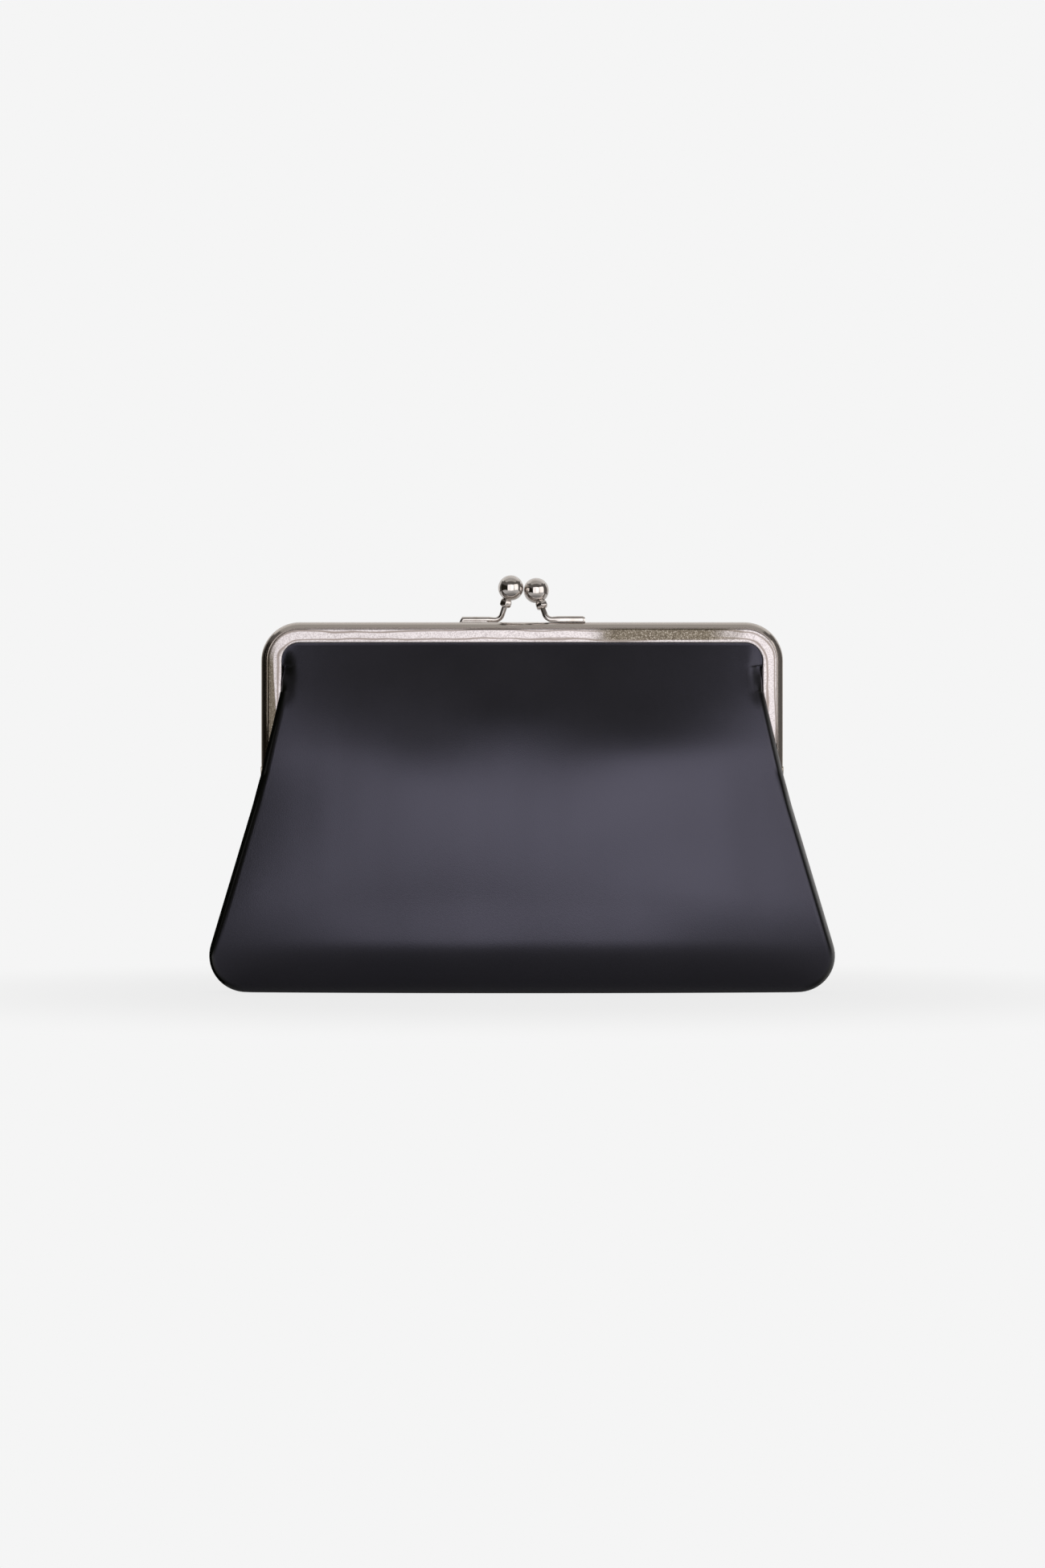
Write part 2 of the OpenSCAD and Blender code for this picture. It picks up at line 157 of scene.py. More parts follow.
def window(name, place, aim, width, height, watts, colour):
    direction = Vector(aim) - Vector(place)
    turned = direction.to_track_quat("-Z", "Y").to_euler()
    bpy.ops.object.light_add(type="AREA", location=place, rotation=turned)
    lamp = bpy.context.object
    lamp.name = name
    lamp.visible_camera = False
    lamp.data.shape = "RECTANGLE"
    lamp.data.size = width
    lamp.data.size_y = height
    lamp.data.energy = watts
    lamp.data.color = colour


front_w = 0.63
front_x = front_w / 2
front_tint = (1.0, 0.985, 0.99)
window("front_window_left", (-front_x, -1.15, 0.015), (-front_x, 0, 0.015), front_w, 1.55, 3.8, front_tint)
window("front_window_right", (front_x, -1.15, 0.015), (front_x, 0, 0.015), front_w, 1.55, 4.8, front_tint)
window("overhead_front", (0, -0.21, 1.30), (0, -0.21, 0), 1.9, 0.86, 1.7, (1.0, 0.97, 0.93))
window("overhead_back", (0, 0.72, 1.30), (0, 0.72, 0), 2.6, 1.0, 4.6, (1.0, 0.98, 0.95))
window("backdrop_glow", (0, 1.3, 0.55), (0, 0, 0.20), 4.6, 1.6, 14.0, (1.0, 0.99, 0.98))
window("right_panel", (0.95, -0.72, 0.25), (0, 0, 0.10), 0.9, 1.1, 4.2, (1.0, 0.98, 0.96))

bpy.ops.object.select_all(action="DESELECT")
bpy.ops.mesh.primitive_plane_add(size=1, location=(-0.9, -0.72, 0.14), rotation=(0, math.radians(90), 0))
curtain = bpy.context.object
curtain.name = "curtain"
curtain.scale = (0.9, 1.75, 1)
curtain.visible_camera = False
material, nodes, links = new_material("dark_curtain")
output = nodes.new("ShaderNodeOutputMaterial")
cloth = nodes.new("ShaderNodeBsdfDiffuse")
cloth.inputs["Color"].default_value = (0.035, 0.031, 0.024, 1)
links.new(cloth.outputs[0], output.inputs["Surface"])
curtain.data.materials.append(material)
bpy.context.scene.view_settings.view_transform = "Standard"


# Leather. Two panels of smooth black calf, front and rear, each cut in one piece from the
# middle of the base up into the frame. They are sewn inside out along the base and both sides,
# so only a thin groove shows there, and above the hinges each one follows its half of the frame.
bag_w = 240
corner_r = 14
side_lean = math.radians(16.7)
arm_lean = math.radians(13.2)
base_d = 21
bag_d = 53
swell_z = 20.5
edge_swell_z = 40
full_z = 48
edge_d = 32
bulge_power = 2.2
neck_power = 3
lean_from = 55
lean_to = 112
lean_end = 134
side_lean_from = 75
side_lean_to = 118
leather_t = 1.2
seam_top = 70
over_arm_z = 83
arm_leave_z = 115
pocket_z = 116.5
pocket_from = 110
pocket_to = 122
enter_z = 124
held_z = 125
frame_w = 200
frame_top = 141.8
frame_r = 14.8
channel_w = 8
wall_out = 6.0
inner_w = frame_w / 2 - channel_w
corner_x = frame_w / 2 - frame_r
corner_z = frame_top - frame_r
tuck = 3.3
in_channel = 5.2
over_arm = 7.7
arm_slit = 0.15
clear_w = inner_w - arm_slit
side_band = 6
draw_in = 9
draw_out = 15
seam_roll = 3.4
less_on_arm = 0.4
less_in_pocket = 1.8
seam_gap = 0.05
groove_deep = 0.5
groove_half = 0.55
groove_from = 90
base_edge = 3
broad_slack = 0.9
fine_slack = 0.16
tangent_x = bag_w / 2 - corner_r + corner_r * math.cos(side_lean)
tangent_z = corner_r + corner_r * math.sin(side_lean)


def clamp(v):
    return max(0.0, min(1.0, v))


def ramp(z, start, end):
    v = clamp((z - start) / (end - start))
    return v * v * (3 - 2 * v)


def quarter(v):
    return math.sqrt(max(0.0, 1 - (1 - clamp(v)) ** 2))


def side_w(z):
    """Half the bag's width at height z: a round corner, a lean, and a steeper one beside the arms."""
    if z < tangent_z:
        return bag_w / 2 - corner_r + corner_r * math.sqrt(max(0.0, 1 - (1 - z / corner_r) ** 2))
    leaning = tangent_x - math.tan(side_lean) * (min(z, over_arm_z) - tangent_z)
    return leaning - math.tan(arm_lean) * max(0, z - over_arm_z)


def leather_w(z):
    """Half the leather's width. Above the pocket in the frame it reaches into the channel."""
    if z <= arm_leave_z:
        return side_w(z)
    if z < held_z:
        return clear_w
    if z < corner_z:
        return frame_w / 2 - tuck
    return corner_x + math.sqrt(max(0.0, (frame_r - tuck) ** 2 - (z - corner_z) ** 2))


def edge_y(z):
    """Half the depth at the bag's side edges."""
    if z < edge_swell_z:
        return base_edge + (edge_d / 2 - base_edge) * quarter(z / edge_swell_z)
    if z < pocket_z:
        return edge_d / 2 + (over_arm - edge_d / 2) * ramp(z, full_z, over_arm_z)
    return over_arm + (in_channel - over_arm) * ramp(z, pocket_z, enter_z)


def leant(z, start, end):
    """How far a wall has come in at height z, as its slope grows from start to end."""
    v = clamp((z - start) / (end - start))
    return (end - start) * (v ** 3 - v ** 4 / 2) + max(0, min(z, lean_end) - end)


def narrowed(deep, z, start, end):
    return in_channel + (deep - in_channel) * (1 - leant(z, start, end) / leant(lean_end, start, end))


def mid_y(z):
    """Half the depth in the middle of the bag."""
    if z < full_z:
        return base_d / 2 + (bag_d - base_d) / 2 * quarter(z / swell_z)
    return narrowed(bag_d / 2, z, lean_from, lean_to)


def bulge_w(z):
    """Half the width over which the bag bulges."""
    w = side_w(min(z, arm_leave_z))
    return w + (clear_w - w) * ramp(z, 90, arm_leave_z)


def at_side(x, z):
    """1 on the narrow band where the leather dips past an arm into the channel."""
    return ramp(abs(x) - bulge_w(z), -side_band, 0) * ramp(z, pocket_from, pocket_to)


def base_y(x, z):
    """Half the depth before the bulge is added."""
    level = edge_y(z) if z < full_z else narrowed(edge_d / 2, z, side_lean_from, side_lean_to)
    return level + (edge_y(z) - level) * at_side(x, z)


def section_point(z, angle, off, half_w):
    """A point of the bag's section at height z. Its width is drawn in or out by an odd power of the sine."""
    s = math.sin(angle)
    even_w = side_w(min(z, arm_leave_z)) - off
    x = even_w * s + (half_w - even_w) * s ** (draw_in if half_w < even_w else draw_out)
    lifted = (edge_y(z) - leather_t - off - seam_gap) * ramp(z, seam_top, over_arm_z)
    rim = max(seam_gap + lifted, seam_gap)
    edge = max(base_y(x, z) - off, rim + seam_gap)
    middle = max(mid_y(z) - off, edge)
    roll = seam_roll - less_on_arm * ramp(z, seam_top, over_arm_z)
    roll -= less_in_pocket * ramp(z, pocket_from, pocket_to)
    turn = quarter((half_w - abs(x)) / max(roll - off, 0.3))
    power = bulge_power + (neck_power - bulge_power) * ramp(z, full_z, pocket_from)
    swell = max(0.0, 1 - (abs(x) / (bulge_w(z) - off)) ** power)
    return x, rim + (edge - rim) * turn + (middle - edge) * swell


def slack(x, z, side):
    """The gentle unevenness of the hide between its seams and the frame, in mm."""
    share = ramp(z, 8, 40) * (1 - ramp(z, 98, 130)) * (1 - clamp(abs(x) / side_w(min(z, arm_leave_z))) ** 4)
    broad = noise.noise(Vector((x * 0.021, side * 7.3, z * 0.028)))
    upright = noise.noise(Vector((x * 0.085, side * 3.1, z * 0.014)))
    return share * (broad_slack * broad + fine_slack * upright)


turn_angles = [math.radians(a) for a in
               [*range(0, 82, 2), 83, 84.3, 85.5, 86.5, 87.4, 88.2, 88.8, 89.2, 89.55, 89.8, 90]]
columns = [-a for a in reversed(turn_angles[1:])] + turn_angles


def bag_sheet(name, side, rows, off, half_w=leather_w):
    """A sheet that follows the bag's sections at a depth off(z) under the face. side is -1 in front."""
    across = len(columns) - 1
    up = len(rows) - 1
    bpy.ops.object.select_all(action="DESELECT")
    bpy.ops.mesh.primitive_grid_add(x_subdivisions=across, y_subdivisions=up, size=2)
    piece = bpy.context.object
    piece.name = name
    length = {}
    for v in piece.data.vertices:
        i = round((v.co.x + 1) / 2 * across)
        j = round((v.co.y + 1) / 2 * up)
        z, part = rows[j]
        depth = off(z)
        x, y = section_point(z, columns[i], depth, half_w(z) - depth)
        y = max(y * part + slack(x, z, side) * part, seam_gap)
        groove = groove_deep * math.exp(-(y / groove_half) ** 2) * (1 - ramp(z, seam_top, seam_top + 5))
        x -= math.copysign(groove, x) if abs(x) > groove_from and z > 0 else 0
        z += depth * clamp(1 - z / 12) + (groove if z == 0 else 0)
        v.co = (-side * x * mm, side * y * mm, z * mm)
        length[v.index] = (x * mm, z * mm + y * mm * (1 if z < 20 else 0))
    uv = piece.data.uv_layers.active.data
    for loop in piece.data.loops:
        uv[loop.index].uv = length[loop.vertex_index]
    return piece


def give_thickness(piece, thickness):
    """Makes a sheet solid inwards, and presses its base flat on the table."""
    bpy.ops.object.select_all(action="DESELECT")
    piece.select_set(True)
    bpy.context.view_layer.objects.active = piece
    solidify = piece.modifiers.new("thickness", "SOLIDIFY")
    solidify.thickness = thickness * mm
    solidify.offset = -1
    solidify.use_even_offset = False
    bpy.ops.object.modifier_apply(modifier=solidify.name)
    for v in piece.data.vertices:
        v.co.z = max(v.co.z, 0)
    bpy.ops.object.shade_smooth_by_angle(angle=math.radians(50))


base_rows = [(0, part) for part in (0, 0.02, 0.05, 0.1, 0.2, 0.35, 0.5, 0.65, 0.8, 0.92, 1)]
body_heights = [0.1, 0.3, 0.6, 1, 1.5, 2.1, 2.8, 3.6, 4.5, 5.5, 6.6, 7.8, 9.1, 10.5, 12, 13.6, 15.3, 17, 19]
body_heights += list(range(21, 70, 2)) + [70 + 0.9 * i for i in range(15)]
neck_heights = [*range(84, 114, 2), 113.5, 114.9, 115.1, *range(116, 125), 124.9, 125.1]
held_heights = [126, 127, 128.5, 130, 131.3, 132.6, 133.8, 135, 136, 137.2, frame_top - tuck]
leather_heights = body_heights + neck_heights + held_heights
leather_rows = base_rows + [(z, 1) for z in leather_heights]


def shade(source, start, end, low=0.0, high=1.0):
    """A soft step of a value between two lengths given in mm."""
    step = nodes.new("ShaderNodeMapRange")
    step.interpolation_type = "SMOOTHSTEP"
    step.inputs["From Min"].default_value = start * mm
    step.inputs["From Max"].default_value = end * mm
    step.inputs["To Min"].default_value = low
    step.inputs["To Max"].default_value = high
    links.new(source, step.inputs["Value"])
    return step.outputs[0]


def two_tone(source, dark, light, start=0.0, end=1.0):
    """A colour that goes from dark to light as the source goes from start to end."""
    tones = nodes.new("ShaderNodeValToRGB")
    tones.color_ramp.elements[0].position = start
    tones.color_ramp.elements[0].color = (*dark, 1)
    tones.color_ramp.elements[1].position = end
    tones.color_ramp.elements[1].color = (*light, 1)
    links.new(source, tones.inputs["Fac"])
    return tones.outputs["Color"]


def combine(operation, first, second):
    """A math node on two values, each a number or another node's output."""
    node = nodes.new("ShaderNodeMath")
    node.operation = operation
    for slot, value in ((0, first), (1, second)):
        if isinstance(value, (int, float)):
            node.inputs[slot].default_value = value
        else:
            links.new(value, node.inputs[slot])
    return node.outputs[0]


material, nodes, links = new_material("black_calf")
output = nodes.new("ShaderNodeOutputMaterial")
shader = nodes.new("ShaderNodeBsdfPrincipled")
shader.inputs["Specular Tint"].default_value = (0.77, 0.745, 1.0, 1)
links.new(shader.outputs[0], output.inputs["Surface"])
place = nodes.new("ShaderNodeTexCoord")
parts = nodes.new("ShaderNodeSeparateXYZ")
links.new(place.outputs["Object"], parts.inputs[0])
sideways = combine("MAXIMUM", parts.outputs["X"], combine("MULTIPLY", parts.outputs["X"], -1))


# The rolled side edges are nearly black in the photograph, so painted shade takes the gloss out
# beside them, and a little where the leather goes down into the frame's corners.
def along_edge(lean, wide):
    """1 within a few mm of the straight sides that lean in by this angle."""
    line = side_w(over_arm_z) + math.tan(lean) * over_arm_z
    reach = combine("ADD", sideways, combine("MULTIPLY", parts.outputs["Z"], math.tan(lean)))
    return shade(reach, line - wide, line - wide / 2)


beside_arm = combine("MULTIPLY", along_edge(arm_lean, 3), shade(parts.outputs["Z"], 79, 83))
beside_arm = combine("MULTIPLY", beside_arm, shade(parts.outputs["Z"], 115, 121, 1, 0))
below_arm = combine("MULTIPLY", along_edge(side_lean, 4.2), shade(parts.outputs["Z"], 83, 87, 1, 0))
past_corner = combine("SUBTRACT", sideways, (bag_w / 2 - corner_r) * mm)
under_corner = combine("SUBTRACT", parts.outputs["Z"], corner_r * mm)
from_corner = combine("ADD", combine("POWER", past_corner, 2), combine("POWER", under_corner, 2))
round_corner = shade(combine("POWER", from_corner, 0.5), corner_r - 3.2, corner_r - 1.6)
round_corner = combine("MULTIPLY", round_corner, shade(past_corner, 0, 8))
round_corner = combine("MULTIPLY", round_corner, shade(under_corner, 2, 6, 1, 0))
edge_painted_shade = combine("MAXIMUM", combine("MAXIMUM", beside_arm, below_arm), round_corner)
# The painted shade along the edges is a little weaker on the right side.
edge_painted_shade = combine("MULTIPLY", edge_painted_shade, shade(parts.outputs["X"], -1, 1, 1, 0.86))
# Painted shade in the frame's corners: a fifth of the gloss is taken out there.
corner_painted_shade = combine("MULTIPLY", shade(sideways, 80, 89), shade(parts.outputs["Z"], 110, 121))
# The painted shade lowers the leather's specular level.
painted_shade_gloss = nodes.new("ShaderNodeMapRange")
painted_shade_gloss.inputs["To Min"].default_value = 0.95
painted_shade_gloss.inputs["To Max"].default_value = 0.0
painted_shade_share = combine("MAXIMUM", edge_painted_shade, combine("MULTIPLY", corner_painted_shade, 0.2))
links.new(painted_shade_share, painted_shade_gloss.inputs["Value"])
links.new(painted_shade_gloss.outputs[0], shader.inputs["Specular IOR Level"])
cloud = nodes.new("ShaderNodeTexNoise")
cloud.inputs["Scale"].default_value = 28
cloud.inputs["Detail"].default_value = 3
links.new(place.outputs["Object"], cloud.inputs["Vector"])
tone = two_tone(cloud.outputs["Fac"], (0.0042, 0.0048, 0.0034), (0.0064, 0.0068, 0.0056), 0.35, 0.68)
links.new(tone, shader.inputs["Base Color"])
gloss = nodes.new("ShaderNodeMapRange")
gloss.inputs["To Min"].default_value = 0.25
gloss.inputs["To Max"].default_value = 0.33
links.new(cloud.outputs["Fac"], gloss.inputs["Value"])
links.new(gloss.outputs[0], shader.inputs["Roughness"])
grain = nodes.new("ShaderNodeTexVoronoi")
grain.feature = "DISTANCE_TO_EDGE"
grain.inputs["Scale"].default_value = 1500
pores = nodes.new("ShaderNodeTexNoise")
pores.inputs["Scale"].default_value = 2600
pores.inputs["Detail"].default_value = 2
height = nodes.new("ShaderNodeMath")
height.operation = "MULTIPLY_ADD"
height.inputs[1].default_value = 0.6
bump = nodes.new("ShaderNodeBump")
bump.inputs["Strength"].default_value = 0.22
bump.inputs["Distance"].default_value = 0.12 * mm
links.new(place.outputs["Object"], grain.inputs["Vector"])
links.new(place.outputs["Object"], pores.inputs["Vector"])
links.new(grain.outputs["Distance"], height.inputs[0])
links.new(pores.outputs["Fac"], height.inputs[2])
links.new(height.outputs[0], bump.inputs["Height"])
links.new(bump.outputs[0], shader.inputs["Normal"])
calf = material

for half, side in (("front", -1), ("rear", 1)):
    panel = bag_sheet(f"{half}_leather_panel", side, leather_rows, lambda z: 0)
    give_thickness(panel, leather_t)
    panel.data.materials.clear()
    panel.data.materials.append(calf)
    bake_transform(panel)
    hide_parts(f"{half}_leather_lower", f"{half}_leather_fold", f"{half}_leather_upper")


# Interlining. A thin pressed fibre sheet glued inside each panel below the hinges. It stops
# short of the seams and keeps the lower bag in shape.
board_off = leather_t + 0.25
board_t = 0.9
seam_short = 3
board_rows = [(z, 1) for z in body_heights if 3 < z < 68]
material, nodes, links = new_material("fibre_sheet")
output = nodes.new("ShaderNodeOutputMaterial")
shader = nodes.new("ShaderNodeBsdfPrincipled")
shader.inputs["Roughness"].default_value = 0.9
links.new(shader.outputs[0], output.inputs["Surface"])
place = nodes.new("ShaderNodeTexCoord")
fibres = nodes.new("ShaderNodeTexNoise")
fibres.inputs["Scale"].default_value = 420
fibres.inputs["Detail"].default_value = 6
bump = nodes.new("ShaderNodeBump")
bump.inputs["Strength"].default_value = 0.4
bump.inputs["Distance"].default_value = 0.1 * mm
links.new(place.outputs["Object"], fibres.inputs["Vector"])
tone = two_tone(fibres.outputs["Fac"], (0.36, 0.33, 0.28), (0.56, 0.52, 0.45))
links.new(fibres.outputs["Fac"], bump.inputs["Height"])
links.new(tone, shader.inputs["Base Color"])
links.new(bump.outputs[0], shader.inputs["Normal"])
for half, side in (("front", -1), ("rear", 1)):
    sheet = bag_sheet(f"{half}_interlining_sheet", side, board_rows, lambda z: board_off)
    bpy.ops.object.mode_set(mode="EDIT")
    bpy.ops.mesh.select_all(action="SELECT")
    bpy.ops.mesh.bisect(plane_co=(0, side * seam_short * mm, 0), plane_no=(0, -side, 0), clear_outer=True)
    bpy.ops.object.mode_set(mode="OBJECT")
    give_thickness(sheet, board_t)
    sheet.data.materials.clear()
    sheet.data.materials.append(material)
    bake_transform(sheet)
    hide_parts(f"{half}_interlining")


# Lining. Charcoal twill, one piece for each side, closed along the base and the seams like
# the leather and pressed with it into the frame's channel.
lining_body = leather_t + 1.75
lining_neck = leather_t + 0.2
lining_t = 0.35


def lining_off(z):
    """How deep the lining lies under the leather's face."""
    return lining_body + (lining_neck - lining_body) * ramp(z, 90, enter_z - 4)


def lining_w(z):
    w = leather_w(z)
    return w + (min(w, inner_w + 1) - w) * ramp(z, seam_top, over_arm_z) if z < held_z else w


material, nodes, links = new_material("charcoal_twill")
output = nodes.new("ShaderNodeOutputMaterial")
shader = nodes.new("ShaderNodeBsdfPrincipled")
shader.inputs["Roughness"].default_value = 0.82
shader.inputs["Sheen Weight"].default_value = 0.25
shader.inputs["Sheen Roughness"].default_value = 0.5
links.new(shader.outputs[0], output.inputs["Surface"])
place = nodes.new("ShaderNodeTexCoord")
twill = nodes.new("ShaderNodeTexWave")
twill.wave_type = "BANDS"
twill.bands_direction = "DIAGONAL"
twill.inputs["Scale"].default_value = 420
twill.inputs["Distortion"].default_value = 0.4
bump = nodes.new("ShaderNodeBump")
bump.inputs["Strength"].default_value = 0.5
bump.inputs["Distance"].default_value = 0.12 * mm
links.new(place.outputs["UV"], twill.inputs["Vector"])
tone = two_tone(twill.outputs["Color"], (0.020, 0.020, 0.022), (0.052, 0.052, 0.056))
links.new(twill.outputs["Fac"], bump.inputs["Height"])
links.new(tone, shader.inputs["Base Color"])
links.new(bump.outputs[0], shader.inputs["Normal"])
lining_rows = base_rows + [(z, 1) for z in leather_heights[:-1]] + [(frame_top - tuck - 0.5, 1)]
for half, side in (("front", -1), ("rear", 1)):
    cloth = bag_sheet(f"{half}_lining_panel", side, lining_rows, lining_off, lining_w)
    give_thickness(cloth, lining_t)
    cloth.data.materials.clear()
    cloth.data.materials.append(material)
    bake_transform(cloth)
    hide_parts(f"{half}_lining")


# Frame halves. Each is one strip of nickel plated steel, rolled into a channel with a bead
# along its outer edge, bent round two corners and closed at the arms' ends by the hinge ears.
# The face is flat along the top and turns convex down the arms.
hinge_z = 80
arm_z = hinge_z + 4.5
sheet_t = 0.6
mid_gap = 0.15
crown_r = 1.6
shoulder_r = 4.3
shoulder_d = 2.35
section = [(channel_w, mid_gap), (5.5, mid_gap), (3.2, mid_gap), (crown_r, mid_gap)]
for degrees in (22, 45, 68, 90):
    a = math.radians(degrees)
    section.append((crown_r - crown_r * math.sin(a), mid_gap + crown_r - crown_r * math.cos(a)))
for degrees in (90, 82, 74, 66, 58, 51, 44, 38, 33, 29):
    a = math.radians(degrees)
    section.append((shoulder_r - shoulder_r * math.sin(a), shoulder_d + shoulder_r * math.cos(a)))
section += [(2.27, 6.0), (2.36, 5.72), (2.5, 5.66), (2.68, 5.84), (2.95, 5.97), (3.4, 6.0)]
section += [(4.6, 6.0), (5.8, 6.0), (7.0, 6.0), (7.55, 5.98), (7.85, 5.88), (8.0, 5.65)]
bead_end = 2.35
face_start = 2.75
most_convex = 0.6
arm_steps = 14
corner_steps = 18
top_steps = 30
ear_t = 0.8
ear_r = 4.2
ear_neck = 5
ear_touch_back = (3.31, 2.59)
ear_touch_front = (-4.11, -0.87)
rivet_hole = 1.3

material, nodes, links = new_material("frosted_nickel")
output = nodes.new("ShaderNodeOutputMaterial")
shader = nodes.new("ShaderNodeBsdfPrincipled")
shader.inputs["Metallic"].default_value = 1
links.new(shader.outputs[0], output.inputs["Surface"])
place = nodes.new("ShaderNodeTexCoord")
parts = nodes.new("ShaderNodeSeparateXYZ")
links.new(place.outputs["UV"], parts.inputs[0])
on_face = nodes.new("ShaderNodeMapRange")
on_face.inputs["From Min"].default_value = bead_end * mm
on_face.inputs["From Max"].default_value = face_start * mm
links.new(parts.outputs["Y"], on_face.inputs["Value"])
speckle = nodes.new("ShaderNodeTexNoise")
speckle.inputs["Scale"].default_value = 2400
speckle.inputs["Detail"].default_value = 3
links.new(place.outputs["Object"], speckle.inputs["Vector"])
stretch = nodes.new("ShaderNodeMapping")
stretch.inputs["Scale"].default_value = (0.16, 1, 1)
links.new(place.outputs["UV"], stretch.inputs["Vector"])
ripple = nodes.new("ShaderNodeTexWave")
ripple.wave_type = "BANDS"
ripple.bands_direction = "Y"
ripple.inputs["Scale"].default_value = 95
ripple.inputs["Distortion"].default_value = 5.5
ripple.inputs["Detail"].default_value = 2.5
ripple.inputs["Detail Scale"].default_value = 1.6
links.new(stretch.outputs[0], ripple.inputs["Vector"])
# Painted reflection: the ripple's dark lines in the face's colour stand for the crinkled face mirroring a
# darker surrounding. The same ripple also gives the face a real relief through the bump below.
line = two_tone(ripple.outputs["Fac"], (0, 0, 0), (1, 1, 1), 0.0, 0.16)
nickel = nodes.new("ShaderNodeMix")
nickel.data_type = "RGBA"
nickel.inputs["A"].default_value = (0.27, 0.23, 0.21, 1)
sparkle = two_tone(speckle.outputs["Fac"], (0.45, 0.41, 0.415), (0.65, 0.61, 0.615), 0.38, 0.56)
links.new(sparkle, nickel.inputs["B"])
links.new(line, nickel.inputs["Factor"])
# Painted reflection: khaki patches on the right part of the top bar and on the outer part of the left arm's
# face stand for a darker surrounding mirrored in the tilted and convex face. The noise only makes their edges
# irregular.
sway = nodes.new("ShaderNodeTexNoise")
sway.inputs["Scale"].default_value = 150
sway.inputs["Detail"].default_value = 4
links.new(place.outputs["Object"], sway.inputs["Vector"])
swayed = combine("MULTIPLY", combine("SUBTRACT", sway.outputs["Fac"], 0.5), 14 * mm)
along = combine("ADD", parts.outputs["X"], swayed)
top_reflection_patch = combine("MULTIPLY", shade(along, 174, 186), shade(along, 222, 240, 1, 0))
top_reflection_patch = combine("MULTIPLY", top_reflection_patch, shade(parts.outputs["Y"], 6.7, 7.3, 1, 0))
arm_limit = shade(parts.outputs["X"], 4, 44, 6.9 * mm, 4.9 * mm)
arm_reflection_patch = shade(combine("SUBTRACT", arm_limit, parts.outputs["Y"]), -0.2, 0.3)
arm_reflection_patch = combine("MULTIPLY", arm_reflection_patch, shade(parts.outputs["X"], 40, 56, 1, 0))
reflection_patch = combine("MAXIMUM", top_reflection_patch, arm_reflection_patch)
reflection_khaki = nodes.new("ShaderNodeValToRGB")
reflection_khaki.color_ramp.elements[0].position = 0.36
reflection_khaki.color_ramp.elements[0].color = (0.090, 0.074, 0.054, 1)
reflection_khaki.color_ramp.elements[1].position = 0.60
reflection_khaki.color_ramp.elements[1].color = (0.20, 0.172, 0.134, 1)
reflection_khaki.color_ramp.elements.new(0.70).color = (0.46, 0.42, 0.37, 1)
links.new(speckle.outputs["Fac"], reflection_khaki.inputs["Fac"])
# The painted reflection is mixed over the face's own colour.
painted_reflection = nodes.new("ShaderNodeMix")
painted_reflection.data_type = "RGBA"
links.new(reflection_patch, painted_reflection.inputs["Factor"])
links.new(nickel.outputs["Result"], painted_reflection.inputs["A"])
links.new(reflection_khaki.outputs["Color"], painted_reflection.inputs["B"])
# Painted reflection on the bead as well: it is darker along the left arm.
bead_painted_reflection = nodes.new("ShaderNodeMix")
bead_painted_reflection.data_type = "RGBA"
bead_painted_reflection.inputs["A"].default_value = (0.60, 0.555, 0.52, 1)
bead_painted_reflection.inputs["B"].default_value = (0.30, 0.265, 0.22, 1)
links.new(arm_reflection_patch, bead_painted_reflection.inputs["Factor"])
bead_tone = nodes.new("ShaderNodeMix")
bead_tone.data_type = "RGBA"
links.new(bead_painted_reflection.outputs["Result"], bead_tone.inputs["A"])
links.new(on_face.outputs[0], bead_tone.inputs["Factor"])
links.new(painted_reflection.outputs["Result"], bead_tone.inputs["B"])
links.new(bead_tone.outputs["Result"], shader.inputs["Base Color"])
frost = nodes.new("ShaderNodeMapRange")
frost.inputs["To Min"].default_value = 0.16
frost.inputs["To Max"].default_value = 0.30
links.new(on_face.outputs[0], frost.inputs["Value"])
links.new(frost.outputs[0], shader.inputs["Roughness"])
relief = nodes.new("ShaderNodeMath")
relief.operation = "MULTIPLY_ADD"
relief.inputs[1].default_value = 0.8
links.new(line, relief.inputs[0])
links.new(speckle.outputs["Fac"], relief.inputs[2])
bump_share = nodes.new("ShaderNodeMath")
bump_share.operation = "MULTIPLY"
links.new(relief.outputs[0], bump_share.inputs[0])
links.new(on_face.outputs[0], bump_share.inputs[1])
bump = nodes.new("ShaderNodeBump")
bump.inputs["Strength"].default_value = 0.35
bump.inputs["Distance"].default_value = 0.06 * mm
links.new(bump_share.outputs[0], bump.inputs["Height"])
links.new(bump.outputs[0], shader.inputs["Normal"])
frosted_nickel = material


def extrude(dx, dy, dz):
    bpy.ops.mesh.extrude_region_move(TRANSFORM_OT_translate={"value": (dx * mm, dy * mm, dz * mm)})


def spin_corner(x, angle):
    bpy.ops.mesh.spin(steps=corner_steps, angle=angle, center=(x * mm, 0, corner_z * mm), axis=(0, 1, 0))


def convexity(x, z):
    """0 along the flat top, 1 down the arms, and between them round the corners."""
    if z <= corner_z:
        return 1.0
    if abs(x) <= corner_x:
        return 0.0
    return ramp(math.atan2(abs(x) - corner_x, z - corner_z), math.radians(20), math.radians(90))


